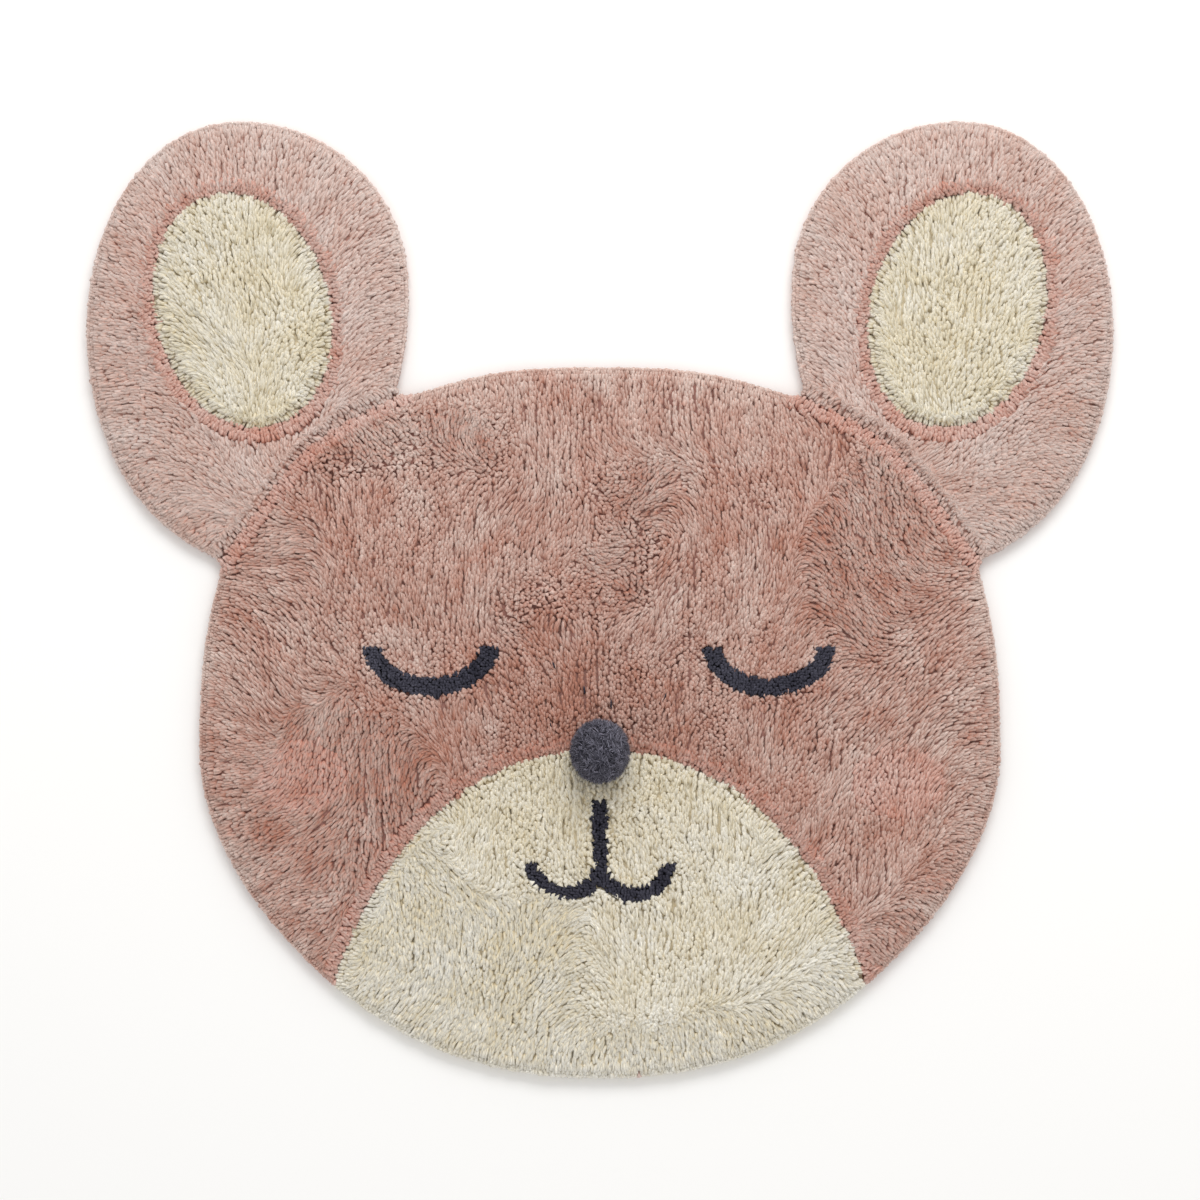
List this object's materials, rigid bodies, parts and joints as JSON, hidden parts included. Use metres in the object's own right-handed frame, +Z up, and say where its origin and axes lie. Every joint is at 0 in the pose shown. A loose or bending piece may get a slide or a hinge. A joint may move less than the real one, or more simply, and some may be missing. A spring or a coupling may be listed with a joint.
{
  "type": "animal shaped kids rug",
  "caption": "Flat hand-tufted rug for a child's room, cut in the shape of an animal's head with ears, with a sewn-on pompom nose.",
  "frame": {"origin": "on the floor under the middle of the rug's outline", "axes": "+Z up, away from the floor; +Y from the chin to the ears; +X to the right of the face as it is seen from above"},
  "size_m": [1.03, 0.96, 0.0716],
  "materials": {
    "tufted_pile": "cut pile",
    "pompom_yarn": "trimmed yarn"
  },
  "bodies": {
    "root": {"rug": "tufted_pile", "nose_pompom": "pompom_yarn"}
  },
  "joints": []
}
